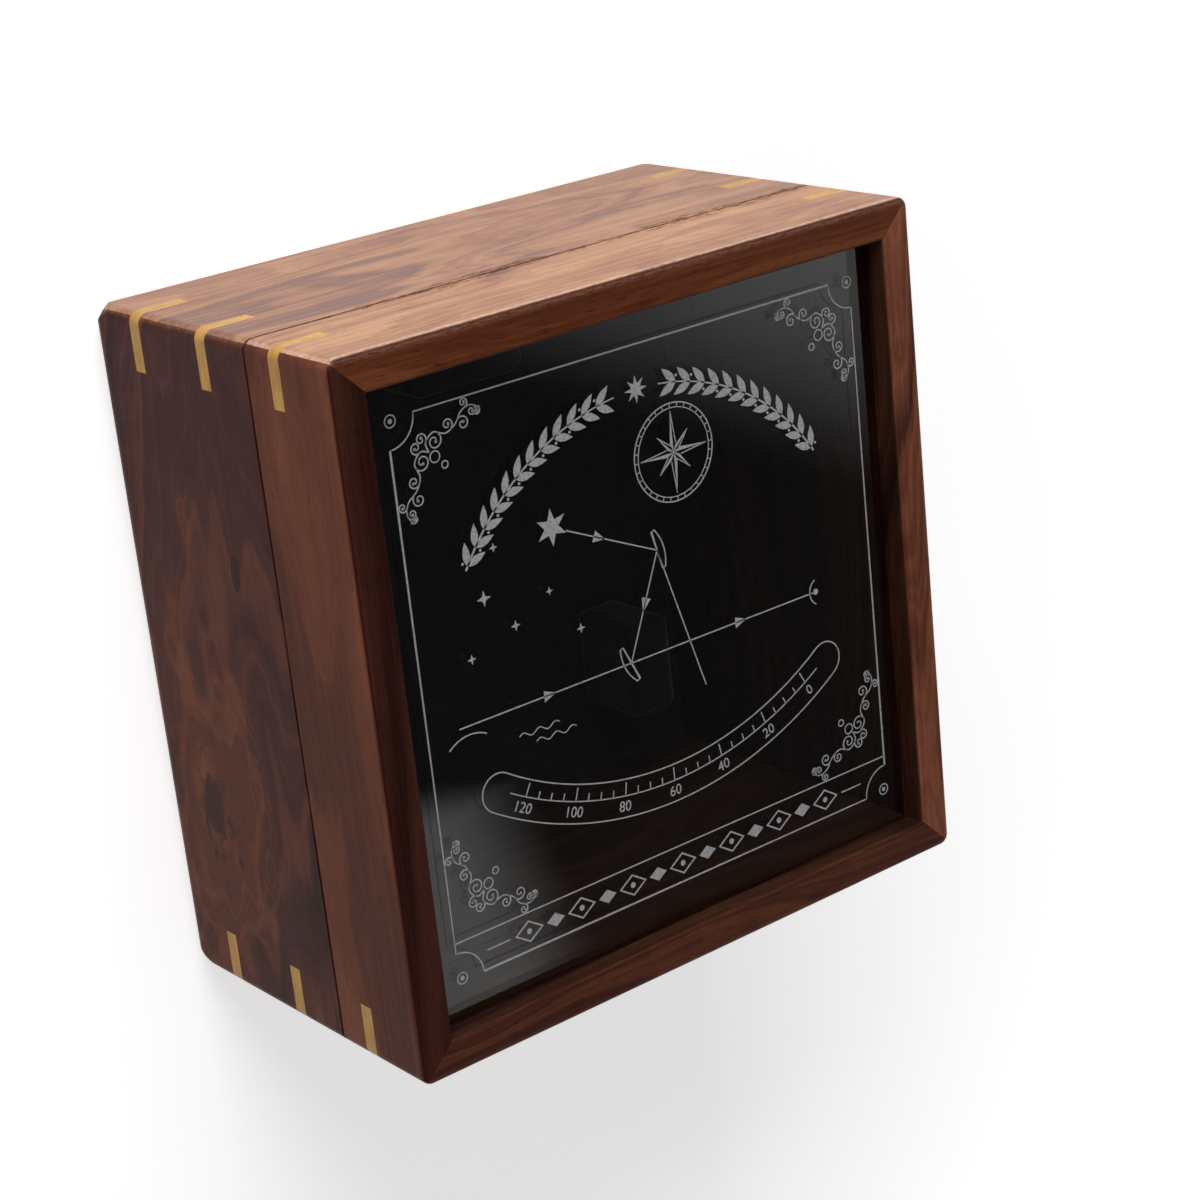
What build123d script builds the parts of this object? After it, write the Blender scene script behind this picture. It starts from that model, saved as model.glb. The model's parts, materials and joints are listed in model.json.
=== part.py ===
from build123d import *
import os

# Nearly square hardwood instrument box that lies on its base with the lid up.
# The origin is the middle of the underside, +Z is up and -Y is the latch side. Millimetres.
# The box is glued up whole, sawn into base and lid, then keyed at the corners.

# Overall body
box_width = 163.0            # X, left to right
box_depth = 165.0            # Y, latch side to hinge side
base_height = 66.1
lid_height = 31.6
seam_gap = 0.3               # saw cut between the base rim and the closed lid
wall_thickness = 8.8

# Eased edges
corner_radius = 2.6          # the four upright corners
underside_radius = 6.0       # outer edges round the underside
foot_ball_radius = 14.0      # ball that the four corners of the underside are sanded to
foot_ball_margin = 0.1       # gap left between that ball's sides and the upright edges
lid_edge_radius = 1.2        # outer edges round the lid's face
lip_radius = 0.8             # inner edge of the lid's frame, above the glass
seam_chamfer = 0.25          # both arrises of the saw cut
mitre_reach = 6.0            # how far a mitre wedge runs past the corner and past the wall

# Corner keys let into saw kerfs across every mitre
key_leg = 13.4               # from the corner to where the key runs out on each face
key_thickness = 4.0
base_key_heights = (21.0, 48.7)   # key centres above the underside
lid_key_height = 11.3        # key centre above the lid's lower edge

# Plywood bottom let into a rabbet, flush with the wall feet
panel_thickness = 4.0
panel_rabbet = 3.0           # width of the rabbet's ledge
panel_edge_gap = 0.1         # glue line round the panel

# Glass pane in a groove of the lid's frame
glass_thickness = 3.0
glass_recess = 5.0           # from the lid's face down to the glass
glass_groove_depth = 3.5
glass_play = 0.1
glass_end_gap = 0.3

# Velvet-covered floor board and the blocks that cradle the instrument
lining_thickness = 2.0
lining_gap = 0.3
cradle_height = 24.0
cradle_radius = 3.0
cradle_end_length = 34.0     # block under the instrument's narrow end, along X
cradle_end_width = 14.0
cradle_end_inset = 12.7      # from the back wall
cradle_side_length = 26.0    # blocks under the ends of the arc, along Y
cradle_side_width = 14.0
cradle_side_inset = 19.7     # from the left and right walls
cradle_front_inset = 20.7    # from the front wall

# Concealed hinges: curved links that slide in two curved slots about the outer arris
hinge_inset = 33.5           # from the side wall's outer face to the middle of a hinge
cup_length = 25.0
cup_width = 6.4
cup_depth = 9.4
cup_setback = 1.8            # wood left outside the cup
link_width = 9.0
link_radius = 6.4            # middle of the link's thickness, from the turning axis
link_thickness = 2.0
link_half_span = 60.0        # degrees each side of the saw cut when shut
link_clearance = 0.15
slot_end_play = 3.0          # degrees past the link's end
hinge_screw_inset = 3.4      # from the cup's end to the screw
hinge_screw_radius = 1.0
hinge_screw_head_radius = 1.9
hinge_screw_length = 12.0
hinge_screw_slot = 0.5       # width and depth of the driver slot

# Swinging hook on the base and its stud on the lid
latch_plate_width = 12.0
latch_plate_height = 16.0
latch_plate_thickness = 0.8
latch_plate_corner = 1.5
latch_pivot_drop = 10.0      # pivot below the base rim
stud_rise = 9.0              # stud above the lid's lower edge
catch_plate_width = 12.0
catch_plate_height = 14.0
rivet_radius = 1.3
rivet_shoulder_radius = 2.7
rivet_shoulder = 0.9         # washer that keeps the hook off the plate
rivet_head_radius = 2.9
rivet_head = 1.1
rivet_tail = 6.0             # length in the wood
hook_running_fit = 0.06      # radial, between the rivet and the hook's eye
hook_side_play = 0.12        # on each face of the hook
hook_thickness = 1.5
hook_eye_radius = 4.0
hook_neck_width = 4.6
hook_head_radius = 4.4
hook_tab_length = 9.0        # finger tab, from the stud's centre
hook_tab_width = 3.2
notch_clearance = 0.18       # between the hook's notch and the stud
notch_sweep = 40.0           # degrees that the open notch runs out of the head
stud_radius = 1.3
stud_head_radius = 2.5
stud_head = 1.2
pin_radius = 0.6
pin_length = 7.0
pin_head_radius = 1.1
pin_head = 0.45
pin_inset = 2.2              # from the plate's edges
hole_clearance = 0.05        # round rivets, studs, pins and screws in wood and brass

# Derived places
inner_width = box_width - 2 * wall_thickness
inner_depth = box_depth - 2 * wall_thickness
lid_bottom = base_height + seam_gap
lid_top = lid_bottom + lid_height
hinge_spacing = box_width - 2 * hinge_inset
hinge_y = box_depth / 2
hinge_z = base_height + seam_gap / 2
front_y = -box_depth / 2
lining_top = panel_thickness + lining_thickness
glass_z = lid_top - glass_recess - glass_thickness
cradle_end_y = inner_depth / 2 - cradle_end_inset - cradle_end_width / 2
cradle_side_x = inner_width / 2 - cradle_side_inset - cradle_side_width / 2
cradle_side_y = -inner_depth / 2 + cradle_front_inset + cradle_side_length / 2
pivot_z = base_height - latch_pivot_drop
stud_z = lid_bottom + stud_rise
hook_reach = stud_z - pivot_z
plate_face_y = front_y - latch_plate_thickness
hook_back_y = plate_face_y - rivet_shoulder - hook_side_play
hook_front_y = hook_back_y - hook_thickness
head_y = hook_front_y - hook_side_play

BOTTOM = (Align.CENTER, Align.CENTER, Align.MIN)
SIDES = {"front": 0, "right": 90, "back": 180, "left": 270}
SIGNS = {"left": -1, "right": 1}


def block(width, depth, height, x=0.0, y=0.0, z=0.0):
    """Plain block standing on height z over the point (x, y)."""
    return Pos(x, y, z) * Box(width, depth, height, align=BOTTOM)


def rod_along_y(radius, y_from, y_to, x, z):
    """Round bar parallel to Y between two depths."""
    length = abs(y_to - y_from)
    return Pos(x, (y_from + y_to) / 2, z) * Rot(90, 0, 0) * Cylinder(radius, length)


def eased_block(bottom_z, height, end_radius, end_is_top):
    """Outer shape of the base or the lid, its seam end chamfered and its far end rounded."""
    body = block(box_width, box_depth, height, z=bottom_z)
    body = fillet(body.edges().filter_by(Axis.Z), corner_radius)
    levels = body.faces().sort_by(Axis.Z)
    end_edges = (levels[-1] if end_is_top else levels[0]).edges()
    body = fillet(end_edges, end_radius)
    levels = body.faces().sort_by(Axis.Z)
    seam_edges = (levels[0] if end_is_top else levels[-1]).edges()
    body = chamfer(seam_edges, seam_chamfer)
    return body if end_is_top else body & ball_cornered_block()


def ball_cornered_block():
    """Larger block with ball corners, set so far out that only its four lower corners cut the case."""
    out = (foot_ball_radius - corner_radius) * (1 - 0.5 ** 0.5) + foot_ball_margin
    shell = block(box_width + 2 * out, box_depth + 2 * out, 2 * base_height, z=-out)
    rounded = shell.edges().filter_by(Axis.Z) + shell.faces().sort_by(Axis.Z)[0].edges()
    return fillet(rounded, foot_ball_radius)


def groove(depth, height, z):
    """Slab that cuts a groove or a rabbet of one depth into all four walls."""
    return block(inner_width + 2 * depth, inner_depth + 2 * depth, height, z=z)


def mitre_wedge(quarter_turn):
    """Prism that keeps one wall of the four, cut at 45 degrees through the corners."""
    across, out = (box_width, box_depth) if quarter_turn % 180 == 0 else (box_depth, box_width)
    inside = wall_thickness + mitre_reach
    outline = Polygon(
        (-across / 2 - mitre_reach, -out / 2 - mitre_reach),
        (across / 2 + mitre_reach, -out / 2 - mitre_reach),
        (across / 2 - inside, -out / 2 + inside),
        (-across / 2 + inside, -out / 2 + inside),
        align=None,
    )
    return Rot(0, 0, quarter_turn) * extrude(outline, amount=lid_top)


def corner_kerfs(height_z):
    """Saw kerfs across the four corners, centred on one height."""
    cuts = []
    for sx in (-1, 1):
        for sy in (-1, 1):
            x, y = sx * box_width / 2, sy * box_depth / 2
            past = mitre_reach
            outline = Polygon(
                (x + sx * past, y + sy * past),
                (x - sx * (key_leg + past), y + sy * past),
                (x + sx * past, y - sy * (key_leg + past)),
                align=None,
            )
            z = height_z - key_thickness / 2
            cuts.append(Pos(0, 0, z) * extrude(outline, amount=key_thickness, dir=(0, 0, 1)))
    return cuts


def cup_block(sign, rim_z, direction):
    """Block of a hinge cup, flush with the rim and sunk into the wall."""
    y = hinge_y - cup_setback - cup_width / 2
    low = rim_z if direction > 0 else rim_z - cup_depth
    return block(cup_length, cup_width, cup_depth, x=sign * hinge_spacing / 2, y=y, z=low)


def arc_bar(sign, width, thickness, start_angle, sweep):
    """Curved bar about the hinge axis; the angle grows from the saw cut into the lid."""
    x = sign * hinge_spacing / 2
    section = Pos(x, hinge_y - link_radius, hinge_z) * Rectangle(width, thickness)
    axis = Axis((x, hinge_y, hinge_z), (-1, 0, 0))
    return revolve(section.rotate(axis, start_angle), axis, sweep)


def link_slot(sign, direction):
    """Space that one end of a link slides in."""
    return arc_bar(
        sign,
        link_width + 2 * link_clearance,
        link_thickness + 2 * link_clearance,
        0 if direction > 0 else -(link_half_span + slot_end_play),
        link_half_span + slot_end_play,
    )


def hinge_screw(sign, end, rim_z, direction, clearance=0.0):
    """Countersunk screw at one end of a cup, its head flush with the rim."""
    x = sign * hinge_spacing / 2 + end * (cup_length / 2 - hinge_screw_inset)
    y = hinge_y - cup_setback - cup_width / 2
    shank = hinge_screw_radius + clearance
    head = hinge_screw_head_radius + clearance
    taper = hinge_screw_head_radius - hinge_screw_radius
    length = hinge_screw_length + clearance
    outline = Polygon((0, 0), (head, 0), (shank, taper), (shank, length), (0, length), align=None)
    turned = revolve(Plane.XZ * outline, Axis.Z)
    if clearance == 0.0:
        turned -= Box(2 * head, hinge_screw_slot, 2 * hinge_screw_slot)
    flip = Rot(0, 0, 0) if direction > 0 else Rot(180, 0, 0)
    return Pos(x, y, rim_z) * flip * turned


def hinge_screws(rim_z, direction, clearance=0.0):
    """All four screws that hold the cups of the base or of the lid."""
    return [
        hinge_screw(sign, end, rim_z, direction, clearance)
        for sign in SIGNS.values()
        for end in (-1, 1)
    ]


def plate(width, height, z):
    """Rounded brass plate flat on the front wall."""
    sketch = RectangleRounded(width, height, latch_plate_corner)
    return Pos(0, front_y, z) * Rot(90, 0, 0) * extrude(sketch, amount=latch_plate_thickness)


def plate_pin_places(width, height, z):
    """Pin centres near the four corners of a plate."""
    reach_x = width / 2 - pin_inset
    reach_z = height / 2 - pin_inset
    return [(sx * reach_x, z + sz * reach_z) for sx in (-1, 1) for sz in (-1, 1)]


def plate_pins(places):
    """Small domed nails that hold a plate."""
    pins = []
    for x, z in places:
        shank = rod_along_y(pin_radius, plate_face_y, plate_face_y + pin_length, x, z)
        head = rod_along_y(pin_head_radius, plate_face_y - pin_head, plate_face_y, x, z)
        rim = head.edges().filter_by(GeomType.CIRCLE).sort_by(Axis.Y)[0]
        pins.append(shank + fillet(rim, pin_head * 0.6))
    return pins


def pin_holes(places):
    """Clearance holes for the nails of one plate."""
    tail = plate_face_y + pin_length + hole_clearance
    return [
        rod_along_y(pin_radius + hole_clearance, plate_face_y - pin_head, tail, x, z)
        for x, z in places
    ]


def domed_head(radius, thickness, z):
    """Low domed head that starts just outside the hook."""
    head = rod_along_y(radius, head_y - thickness, head_y, 0, z)
    return fillet(head.edges().filter_by(GeomType.CIRCLE).sort_by(Axis.Y)[0], thickness * 0.7)


def make_rivet():
    """Shouldered rivet that the hook turns on."""
    shank = rod_along_y(rivet_radius, front_y + rivet_tail, head_y, 0, pivot_z)
    washer = rod_along_y(rivet_shoulder_radius, plate_face_y - rivet_shoulder, plate_face_y, 0, pivot_z)
    return shank + washer + domed_head(rivet_head_radius, rivet_head, pivot_z)


def make_stud():
    """Headed stud that the hook catches."""
    shank = rod_along_y(stud_radius, front_y + rivet_tail, head_y, 0, stud_z)
    return shank + domed_head(stud_head_radius, stud_head, stud_z)


def tail_hole(radius, z):
    """Hole for a rivet's or a stud's tail through its plate and into the wood."""
    end = front_y + rivet_tail + hole_clearance
    return rod_along_y(radius + hole_clearance, plate_face_y, end, 0, z)


def make_hook():
    """Swinging hook, drawn as it latches and then turned down to hang from its pivot."""
    outline = Circle(hook_eye_radius)
    outline += Pos(0, hook_reach / 2) * Rectangle(hook_neck_width, hook_reach)
    outline += Pos(0, hook_reach) * Circle(hook_head_radius)
    tab_run = hook_tab_length - hook_tab_width / 2
    outline += Pos(tab_run / 2, hook_reach) * Rectangle(tab_run, hook_tab_width)
    outline += Pos(tab_run, hook_reach) * Circle(hook_tab_width / 2)
    notch_half = stud_radius + notch_clearance
    path = CenterArc((0, 0), hook_reach, 90, notch_sweep)
    outline -= SlotArc(path, 2 * notch_half)
    outline -= Circle(rivet_radius + hook_running_fit)
    hanging = Rot(0, 0, 180) * outline
    return Pos(0, hook_back_y, pivot_z) * Rot(90, 0, 0) * extrude(hanging, amount=hook_thickness)


def cut_all(body, cutters):
    """Body with every cutter removed."""
    for cutter in cutters:
        body = body - cutter
    return body


def make_walls(shell, prefix, suffix):
    """Four mitred walls of a shell, by node name."""
    return {
        f"{prefix}_{side}_{suffix}": shell & mitre_wedge(turn)
        for side, turn in SIDES.items()
    }


def make_cups(level, rim_z, direction):
    """Two hinge cups with their slots and screw holes, by node name."""
    holes = hinge_screws(rim_z, direction, hole_clearance)
    return {
        f"hinge_{side}_{level}_cup": cut_all(
            cup_block(sign, rim_z, direction) - link_slot(sign, direction), holes
        )
        for side, sign in SIGNS.items()
    }


def make_base():
    """Walls, bottom, keys, lining, cradles and hardware of the base."""
    outer = eased_block(0, base_height, underside_radius, end_is_top=False)
    shell = outer - block(inner_width, inner_depth, base_height)
    shell -= groove(panel_rabbet, panel_thickness, 0)
    kerfs = [kerf for height in base_key_heights for kerf in corner_kerfs(height)]
    pin_places = plate_pin_places(latch_plate_width, latch_plate_height, pivot_z)
    shell = cut_all(shell, kerfs)
    shell = cut_all(shell, [cup_block(sign, base_height, -1) for sign in SIGNS.values()])
    shell = cut_all(shell, hinge_screws(base_height, -1, hole_clearance))
    shell = cut_all(shell, [tail_hole(rivet_radius, pivot_z), *pin_holes(pin_places)])
    nodes = make_walls(shell, "base", "wall")
    nodes["base_keys"] = Compound([kerf & outer for kerf in kerfs])
    panel_reach = 2 * (panel_rabbet - panel_edge_gap)
    nodes["bottom_panel"] = block(
        inner_width + panel_reach, inner_depth + panel_reach, panel_thickness
    )
    nodes["floor_lining"] = block(
        inner_width - 2 * lining_gap,
        inner_depth - 2 * lining_gap,
        lining_thickness,
        z=panel_thickness,
    )
    nodes["cradle_end"] = make_cradle(cradle_end_length, cradle_end_width, 0, cradle_end_y)
    for side, sign in SIGNS.items():
        nodes[f"cradle_{side}"] = make_cradle(
            cradle_side_width, cradle_side_length, sign * cradle_side_x, cradle_side_y
        )
    nodes.update(make_cups("base", base_height, -1))
    nodes["hinge_base_screws"] = Compound(hinge_screws(base_height, -1))
    base_plate = plate(latch_plate_width, latch_plate_height, pivot_z)
    nodes["latch_plate"] = cut_all(
        base_plate, [tail_hole(rivet_radius, pivot_z), *pin_holes(pin_places)]
    )
    nodes["latch_plate_pins"] = Compound(plate_pins(pin_places))
    nodes["latch_rivet"] = make_rivet()
    return nodes


def make_cradle(width, depth, x, y):
    """Padded block that stands on the lining, its top and upright edges rounded."""
    body = block(width, depth, cradle_height, x, y, lining_top)
    foot = body.faces().sort_by(Axis.Z)[0].edges()
    return fillet([edge for edge in body.edges() if edge not in foot], cradle_radius)


def make_lid():
    """Frame, keys, glass and hardware of the lid."""
    outer = eased_block(lid_bottom, lid_height, lid_edge_radius, end_is_top=True)
    shell = outer - block(inner_width, inner_depth, lid_height, z=lid_bottom)
    lip = shell.faces().sort_by(Axis.Z)[-1].inner_wires()[0].edges()
    shell = fillet(lip, lip_radius)
    shell -= groove(glass_groove_depth, glass_thickness + glass_play, glass_z)
    kerfs = corner_kerfs(lid_bottom + lid_key_height)
    pin_places = plate_pin_places(catch_plate_width, catch_plate_height, stud_z)
    shell = cut_all(shell, kerfs)
    shell = cut_all(shell, [cup_block(sign, lid_bottom, 1) for sign in SIGNS.values()])
    shell = cut_all(shell, hinge_screws(lid_bottom, 1, hole_clearance))
    shell = cut_all(shell, [tail_hole(stud_radius, stud_z), *pin_holes(pin_places)])
    nodes = make_walls(shell, "lid", "rail")
    nodes["lid_keys"] = Compound([kerf & outer for kerf in kerfs])
    glass_reach = 2 * (glass_groove_depth - glass_end_gap)
    nodes["glass_pane"] = block(
        inner_width + glass_reach, inner_depth + glass_reach, glass_thickness, z=glass_z
    )
    nodes.update(make_cups("lid", lid_bottom, 1))
    nodes["hinge_lid_screws"] = Compound(hinge_screws(lid_bottom, 1))
    lid_plate = plate(catch_plate_width, catch_plate_height, stud_z)
    nodes["catch_plate"] = cut_all(
        lid_plate, [tail_hole(stud_radius, stud_z), *pin_holes(pin_places)]
    )
    nodes["catch_plate_pins"] = Compound(plate_pins(pin_places))
    nodes["catch_stud"] = make_stud()
    return nodes


def make_moving_hardware():
    """Hinge links and the hook."""
    nodes = {
        f"hinge_{side}_link": arc_bar(
            sign, link_width, link_thickness, -link_half_span, 2 * link_half_span
        )
        for side, sign in SIGNS.items()
    }
    nodes["latch_hook"] = make_hook()
    return nodes


os.makedirs("parts", exist_ok=True)
for name, solid in {**make_base(), **make_lid(), **make_moving_hardware()}.items():
    export_step(solid, f"parts/{name}.step")
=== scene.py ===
"""Looks of a nearly square rosewood instrument box with a glazed lid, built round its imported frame.

The frame gives every rigid piece at its real size, in metres. This script dresses those pieces and adds
what the frame leaves out: the printed chart on the glass and the velvet inside the box.
"""

import json
import logging
import math
from dataclasses import dataclass, field
from enum import Enum

import bpy
import numpy as np
from mathutils import Matrix, Vector

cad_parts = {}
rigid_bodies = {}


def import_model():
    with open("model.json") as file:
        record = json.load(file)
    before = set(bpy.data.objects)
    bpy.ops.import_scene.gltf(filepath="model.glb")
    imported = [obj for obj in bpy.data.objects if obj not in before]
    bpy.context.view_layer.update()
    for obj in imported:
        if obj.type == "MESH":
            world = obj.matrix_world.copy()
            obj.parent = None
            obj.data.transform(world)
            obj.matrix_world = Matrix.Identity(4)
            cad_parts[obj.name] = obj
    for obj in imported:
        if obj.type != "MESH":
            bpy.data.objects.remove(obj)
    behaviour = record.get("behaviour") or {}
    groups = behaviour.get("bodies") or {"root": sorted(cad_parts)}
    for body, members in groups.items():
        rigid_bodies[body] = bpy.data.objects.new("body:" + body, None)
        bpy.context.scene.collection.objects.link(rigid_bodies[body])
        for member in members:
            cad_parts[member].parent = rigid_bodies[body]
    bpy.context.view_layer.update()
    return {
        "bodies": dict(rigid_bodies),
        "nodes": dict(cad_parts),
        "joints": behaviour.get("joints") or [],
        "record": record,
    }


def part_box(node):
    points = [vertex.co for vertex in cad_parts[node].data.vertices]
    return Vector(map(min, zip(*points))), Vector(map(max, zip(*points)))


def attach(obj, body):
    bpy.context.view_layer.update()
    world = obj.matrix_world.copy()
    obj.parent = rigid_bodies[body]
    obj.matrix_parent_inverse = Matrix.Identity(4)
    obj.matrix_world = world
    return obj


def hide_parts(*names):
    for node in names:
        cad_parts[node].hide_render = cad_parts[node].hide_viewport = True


LOG = logging.getLogger("instrument_box")
MM = 0.001


class Grain(Enum):
    """Direction of the wood's fibres, as the Euler turn that lays them along X."""

    ALONG_X = (0.0, 0.0, 0.0)
    ALONG_Y = (0.0, 0.0, -math.pi / 2)


# ---------------------------------------------------------------------------------------------
# Small helpers
# ---------------------------------------------------------------------------------------------


def linear(hex_colour: str) -> tuple[float, float, float, float]:
    """Turns an sRGB hex colour into linear RGBA.

    Args:
        hex_colour: Six hex digits with a leading hash.

    Returns:
        Linear red, green, blue and an alpha of one.
    """
    parts = [int(hex_colour[i : i + 2], 16) / 255 for i in (1, 3, 5)]
    lit = [c / 12.92 if c <= 0.04045 else ((c + 0.055) / 1.055) ** 2.4 for c in parts]
    return (*lit, 1.0)


def add_node(tree: bpy.types.NodeTree, kind: str, settings: dict | None = None, **links: object) -> bpy.types.Node:
    """Adds a shader node, sets its properties and fills or links its inputs.

    Args:
        tree: The node tree that gets the node.
        kind: The node's type name without the ShaderNode prefix.
        settings: Properties of the node itself, by name.
        **links: Inputs by name with underscores for blanks, or i0, i1 for inputs by number. A socket is
            linked and any other value is set.

    Returns:
        The new node.
    """
    node = tree.nodes.new(f"ShaderNode{kind}")
    for name, value in (settings or {}).items():
        setattr(node, name, value)
    for name, value in links.items():
        by_number = name[0] == "i" and name[1:].isdigit()
        socket = node.inputs[int(name[1:])] if by_number else node.inputs[name.replace("_", " ")]
        if isinstance(value, bpy.types.NodeSocket):
            tree.links.new(value, socket)
        else:
            socket.default_value = value
    return node


def math_node(tree: bpy.types.NodeTree, operation: str, *values: object, clamp: bool = False) -> bpy.types.NodeSocket:
    """One arithmetic step on sockets or numbers.

    Args:
        tree: The node tree that gets the node.
        operation: Blender's name for the operation.
        *values: Sockets or numbers, in order.
        clamp: Whether the result is kept between zero and one.

    Returns:
        The result's socket.
    """
    inputs = {f"i{i}": value for i, value in enumerate(values)}
    return add_node(tree, "Math", {"operation": operation, "use_clamp": clamp}, **inputs).outputs[0]


def ramp_node(tree: bpy.types.NodeTree, factor: bpy.types.NodeSocket, stops: list[tuple[float, str]]) -> bpy.types.NodeSocket:
    """Colour ramp through sRGB hex stops.

    Args:
        tree: The node tree that gets the node.
        factor: The socket that drives the ramp.
        stops: Positions from zero to one, each with a hex colour.

    Returns:
        The colour socket.
    """
    node = add_node(tree, "ValToRGB", Fac=factor)
    ramp = node.color_ramp
    while len(ramp.elements) < len(stops):
        ramp.elements.new(0.5)
    for element, (place, colour) in zip(ramp.elements, stops):
        element.position = place
        element.color = linear(colour)
    return node.outputs["Color"]


def mix_colour(tree: bpy.types.NodeTree, factor: object, first: object, second: object, blend: str = "MIX") -> bpy.types.NodeSocket:
    """Mixes two colours.

    Args:
        tree: The node tree that gets the node.
        factor: Share of the second colour.
        first: Socket or RGBA of the first colour.
        second: Socket or RGBA of the second colour.
        blend: Blender's name for the blend type.

    Returns:
        The mixed colour's socket.
    """
    node = add_node(tree, "Mix", {"data_type": "RGBA", "blend_type": blend, "clamp_result": True}, i0=factor, i6=first, i7=second)
    return node.outputs[2]


def band(tree: bpy.types.NodeTree, value: object, low: float, high: float, out_low: float = 0.0, out_high: float = 1.0) -> bpy.types.NodeSocket:
    """Smooth step of a value from one range to another.

    Args:
        tree: The node tree that gets the node.
        value: Socket or number.
        low: Value that gives out_low.
        high: Value that gives out_high.
        out_low: Result at low.
        out_high: Result at high.

    Returns:
        The mapped value's socket.
    """
    node = add_node(
        tree, "MapRange", {"interpolation_type": "SMOOTHSTEP", "clamp": True},
        i0=value, i1=low, i2=high, i3=out_low, i4=out_high,
    )
    return node.outputs[0]


def new_material(name: str) -> tuple[bpy.types.Material, bpy.types.NodeTree, bpy.types.Node]:
    """Makes a material with one Principled shader.

    Args:
        name: The material's name.

    Returns:
        The material, its node tree and its Principled node.
    """
    material = bpy.data.materials.new(name)
    material.use_nodes = True
    tree = material.node_tree
    return material, tree, tree.nodes["Principled BSDF"]


def object_mm(tree: bpy.types.NodeTree, turn: tuple[float, float, float] = (0, 0, 0), shift: tuple[float, float, float] = (0, 0, 0)) -> bpy.types.NodeSocket:
    """Object coordinates in millimetres, turned and then shifted.

    Args:
        tree: The node tree that gets the nodes.
        turn: Euler turn in radians.
        shift: Shift in millimetres, after the turn.

    Returns:
        The coordinate vector's socket.
    """
    place = add_node(tree, "TexCoord").outputs["Object"]
    return add_node(tree, "Mapping", Vector=place, Rotation=turn, Scale=(1000, 1000, 1000), Location=shift).outputs[0]


def stretched(tree: bpy.types.NodeTree, vector: bpy.types.NodeSocket, scale: tuple[float, float, float], shift: tuple[float, float, float] = (0, 0, 0)) -> bpy.types.NodeSocket:
    """Vector scaled per axis and shifted.

    Args:
        tree: The node tree that gets the node.
        vector: Vector socket in millimetres.
        scale: Cycles per millimetre along each axis.
        shift: Shift after the scale.

    Returns:
        The vector socket.
    """
    return add_node(tree, "Mapping", Vector=vector, Scale=scale, Location=shift).outputs[0]


def noise(tree: bpy.types.NodeTree, vector: bpy.types.NodeSocket, detail: float = 2.0, roughness: float = 0.5, distortion: float = 0.0) -> bpy.types.NodeSocket:
    """Fractal noise of scale one on a vector that is already scaled.

    Args:
        tree: The node tree that gets the node.
        vector: Vector socket in cycles.
        detail: Octaves.
        roughness: Weight of the finer octaves.
        distortion: Domain warp.

    Returns:
        The noise value's socket.
    """
    return add_node(
        tree, "TexNoise", Vector=vector, Scale=1.0, Detail=detail, Roughness=roughness, Distortion=distortion
    ).outputs[0]


def mesh_object(name: str, vertices: np.ndarray, faces: list) -> bpy.types.Object:
    """Makes an object at the origin from arrays.

    Args:
        name: The object's name.
        vertices: N by 3 array in metres.
        faces: Index tuples, counter-clockwise from outside.

    Returns:
        The linked object.
    """
    mesh = bpy.data.meshes.new(name)
    mesh.from_pydata(vertices.tolist(), [], [tuple(int(i) for i in face) for face in faces])
    mesh.validate()
    mesh.update()
    piece = bpy.data.objects.new(name, mesh)
    bpy.context.scene.collection.objects.link(piece)
    return piece


# ---------------------------------------------------------------------------------------------
# Finishes
# ---------------------------------------------------------------------------------------------


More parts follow.
